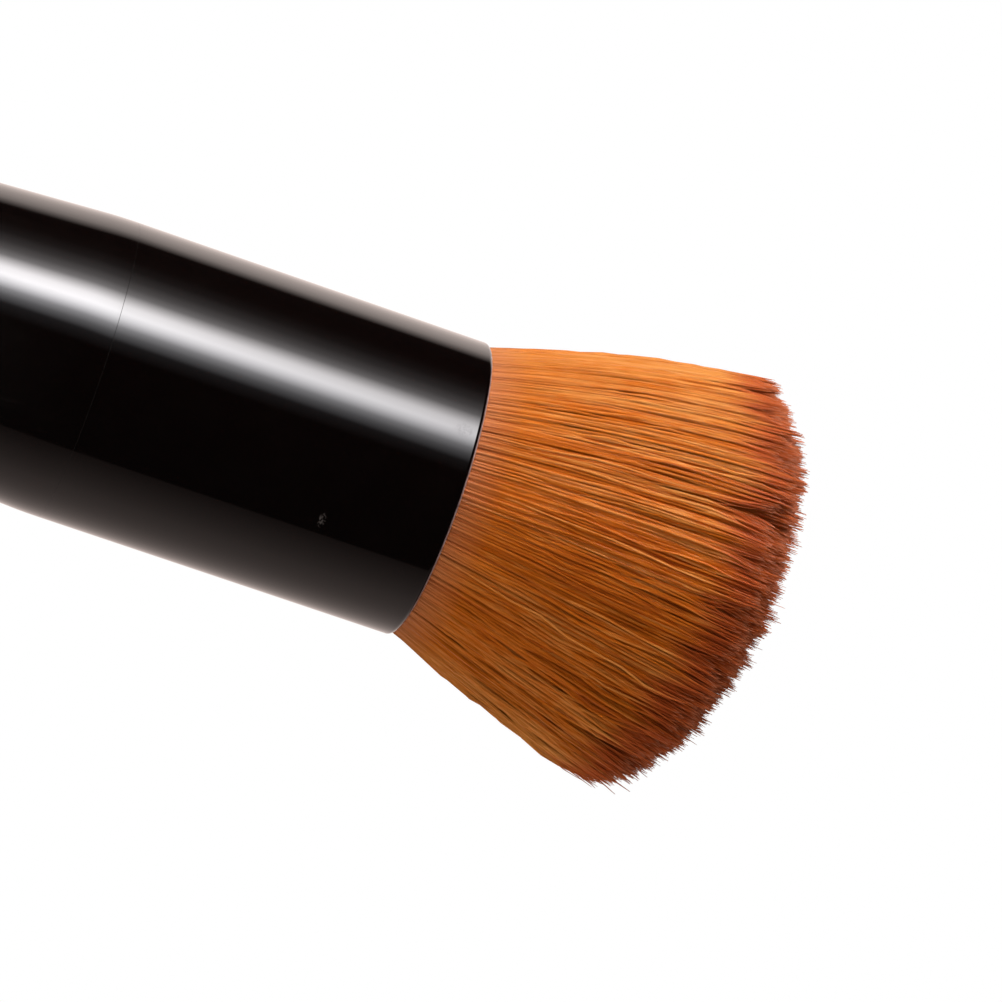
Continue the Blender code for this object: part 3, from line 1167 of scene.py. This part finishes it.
@dataclass
class Studio:
    """Light surround, lamps, floor, and the camera where the photograph was taken."""

    mouth: float
    pixels: float = 1002.0
    pixels_per_mm: float = 13.97
    distance: float = 410.0 * MM
    rise: float = 10.0
    roll: float = 18.83
    mouth_to_centre: Pair = (63.1, -8.9)
    sensor: float = 36.0
    nearest_seen: float = 10.0 * MM
    floor_size: float = 1.8
    ambient: tuple[Pair, ...] = (
        (0.001, 0.9), (0.15, 0.6), (0.35, 0.2), (0.5, 0.1), (0.7, 0.08), (0.999, 0.2))
    ambient_tint: Triple = (1.0, 0.98, 0.96)
    dark: Triple = (0.02, 0.02, 0.02)
    white: Triple = (1.0, 1.0, 1.0)
    lamps: tuple[tuple[str, Triple, float], ...] = (
        ("key", (-0.58, -0.32, 0.20), 1.9), ("above", (-0.66, 0.06, 0.20), 2.2),
        ("front", (-0.1, -0.75, 0.14), 0.5), ("fill", (0.62, 0.14, 0.16), 0.9))
    lamp_size: float = 0.5
    lamp_tint: Triple = (1.0, 0.97, 0.93)
    lamp_aim: float = 12.0 * MM

    def camera(self) -> None:
        """Place the camera so that the mouth lands where the photograph has it."""
        rise, roll = math.radians(self.rise), math.radians(self.roll)
        view = Vector((0.0, math.cos(rise), math.sin(rise)))
        up = Vector((0.0, -math.sin(rise), math.cos(rise)))
        side = Vector((1.0, 0.0, 0.0))
        along, across = (value / self.pixels_per_mm * MM for value in self.mouth_to_centre)
        aim = Vector((0.0, 0.0, self.mouth)) + up * along + side * across
        right = up * math.cos(roll) - side * math.sin(roll)
        top = -up * math.sin(roll) - side * math.cos(roll)
        data = bpy.data.cameras.new("camera")
        data.sensor_width = self.sensor
        data.lens = self.sensor * self.distance / (self.pixels / self.pixels_per_mm * MM)
        data.clip_start = self.nearest_seen
        camera = linked("camera", data)
        turn = Matrix((right, top, -view)).transposed().to_4x4()
        camera.matrix_world = Matrix.Translation(aim - view * self.distance) @ turn
        bpy.context.scene.camera = camera

    def floor(self) -> None:
        """Lay the pale floor that the brush stands on."""
        bm = bmesh.new()
        bmesh.ops.create_grid(bm, x_segments=1, y_segments=1, size=self.floor_size / 2)
        floor = meshed("floor", bm)
        floor.data.materials.append(PaleFloor().material())

    def world(self) -> None:
        """White behind the brush, soft grey light, and darkness in the reflections between lights."""
        world = bpy.data.worlds.new("studio")
        bpy.context.scene.world = world
        nodes = NodeTree(world)
        path = nodes.add("LightPath").outputs
        east = nodes.split(nodes.add("TexCoord").outputs["Generated"])["X"]
        stops = [(position, tuple(level * tint for tint in self.ambient_tint))
                 for position, level in self.ambient]
        around = nodes.ramp(nodes.span(east, (-1.0, 1.0)), stops)
        lit = nodes.mix(path["Is Diffuse Ray"], self.dark, around)
        seen = nodes.mix(path["Is Camera Ray"], lit, self.white)
        nodes.join(seen, nodes.tree.nodes["Background"].inputs["Color"])

    def hang_lamps(self) -> None:
        """Hang the lamps that light the bristles and stay out of the reflections."""
        aim = Vector((0.0, 0.0, self.mouth + self.lamp_aim))
        for name, place, watts in self.lamps:
            data = bpy.data.lights.new(name, "AREA")
            data.energy = watts
            data.size = self.lamp_size
            data.color = self.lamp_tint
            lamp = linked(name, data)
            turn = (aim - Vector(place)).to_track_quat("-Z", "Y").to_matrix().to_4x4()
            lamp.matrix_world = Matrix.Translation(place) @ turn
            lamp.visible_glossy = False
            lamp.visible_camera = False

    def surround(self) -> None:
        """Put up the softbox beside the camera and the white sweep behind the brush."""
        softbox = LightStrip(
            "softbox",
            stops=((-162.4, 0.02), (-152.4, 0.25), (-146.4, 2.4), (-141.4, 6.2), (-134.4, 21.0),
                   (-130.4, 27.0), (-124.4, 23.0), (-119.4, 13.0), (-114.4, 4.2), (-108.4, 1.8),
                   (-101.4, 0.7), (-92.4, 0.18), (-82.4, 0.05), (-71.2, 0.03)),
            heights=((0.0, 1.0), (0.13, 0.93), (0.17, 0.74), (0.225, 0.57), (0.29, 0.5), (0.34, 0.2),
                     (0.4, 0.0)),
            first_tint=(0.93, 0.95, 1.0), last_tint=(1.0, 0.90, 0.86), drift=8.0)
        sweep = LightStrip(
            "white_sweep",
            stops=((-62.0, 0.02), (-56.0, 0.75), (-51.0, 1.3), (-44.0, 1.45), (-20.0, 1.3), (0.0, 1.0),
                   (20.0, 0.85), (40.0, 0.62), (60.0, 0.5), (80.0, 0.43), (90.0, 0.34), (100.0, 0.25),
                   (112.0, 0.14), (117.0, 0.11), (118.0, 0.0)),
            heights=((0.0, 1.0), (0.4, 1.0), (0.7, 1.0)),
            first_tint=(1.0, 0.86, 0.80), last_tint=(1.0, 0.80, 0.74), drift=-20.0)
        softbox.build().visible_diffuse = False
        sweep.build()

    def build(self) -> None:
        """Set up everything round the brush."""
        bpy.context.scene.view_settings.view_transform = "Standard"
        self.camera()
        self.floor()
        self.world()
        self.hang_lamps()
        self.surround()


def dress_hidden_nodes() -> None:
    """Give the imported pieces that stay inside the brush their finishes."""
    finishes = {
        "ballast": TurnedSteel(),
        "ballast_pad": SoftMatter("pad_foam_cells", (0.02, 0.02, 0.022), (0.07, 0.07, 0.075),
                                  scale=3500.0, roughness=0.98, depth=0.1 * MM),
        "root_plug": SoftMatter("amber_glue", (0.45, 0.27, 0.09), (0.62, 0.43, 0.19),
                                scale=500.0, roughness=0.3, depth=0.03 * MM),
        "root_binding": SoftMatter("bound_thread", (0.58, 0.52, 0.42), (0.80, 0.75, 0.66),
                                   scale=4200.0, roughness=0.9, depth=0.05 * MM),
    }
    for node, finish in finishes.items():
        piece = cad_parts[node]
        piece.data.materials.clear()
        piece.data.materials.append(finish.material())
        LOG.info("dressed %s", node)


def main() -> None:
    """Build the brush's pieces round the frame, then the studio."""
    logging.basicConfig(level=logging.INFO, format="%(name)s: %(message)s")
    ferrule_low, ferrule_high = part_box("ferrule")
    handle_foot, cap_edge, pad_edge = (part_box(node)[1] for node in ("handle", "base_cap", "ballast_pad"))
    plug_low, plug_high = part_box("root_plug")
    mouth = ferrule_high.z
    ferrule = Ferrule(radius=ferrule_high.x, base=ferrule_low.z, mouth=mouth)
    fleck = Mark(centre=(4.65 * MM, -9.95 * MM, mouth - 8.75 * MM),
                 radii=(0.6 * MM, 1.5 * MM, 0.32 * MM), grain=6500.0, light=0.2, dull=0.15)
    scuffs = Mark(centre=(-4.5 * MM, -10.0 * MM, mouth - 1.3 * MM),
                  radii=(0.6 * MM, 1.5 * MM, 0.9 * MM), grain=7000.0, light=0.0, dull=0.16)
    ferrule_finish = BlackLacquer("ferrule_lacquer", rim=mouth, marks=(fleck, scuffs))
    LOG.info("built %s", ferrule.build(ferrule_finish.material()).name)
    handle = Handle(
        foot_radius=handle_foot.x, shoulder=ferrule_low.z - CLEARANCE + ferrule.seam_reach,
        shoulder_radius=ferrule_high.x, tenon_top=handle_foot.z, tenon_radius=plug_high.x,
        cap_radius=cap_edge.x, cap_plate=CAP_PLATE, bore_radius=pad_edge.x + CLEARANCE,
        bore_top=pad_edge.z + CLEARANCE)
    lacquer = BlackLacquer("handle_lacquer", gloss=0.05)
    LOG.info("built %s", handle.build(lacquer.material()).name)
    cap = BaseCap(radius=cap_edge.x, plate=CAP_PLATE, spigot_radius=pad_edge.x, spigot_top=cap_edge.z)
    LOG.info("built %s", cap.build(SatinMoulding().material()).name)
    head = BristleHead(mouth=mouth, root_base=plug_low.z + CUP_FLOOR)
    glued = SoftMatter("glued_filament", (0.33, 0.12, 0.03), (0.52, 0.22, 0.06),
                       scale=2600.0, roughness=0.5, depth=0.05 * MM)
    for piece in head.build(FilamentFinish(mouth=mouth).material(), glued.material()):
        LOG.info("built %s, %d faces", piece.name, len(piece.data.polygons))
    dress_hidden_nodes()
    Studio(mouth=mouth).build()


if __name__ == "__main__":
    main()
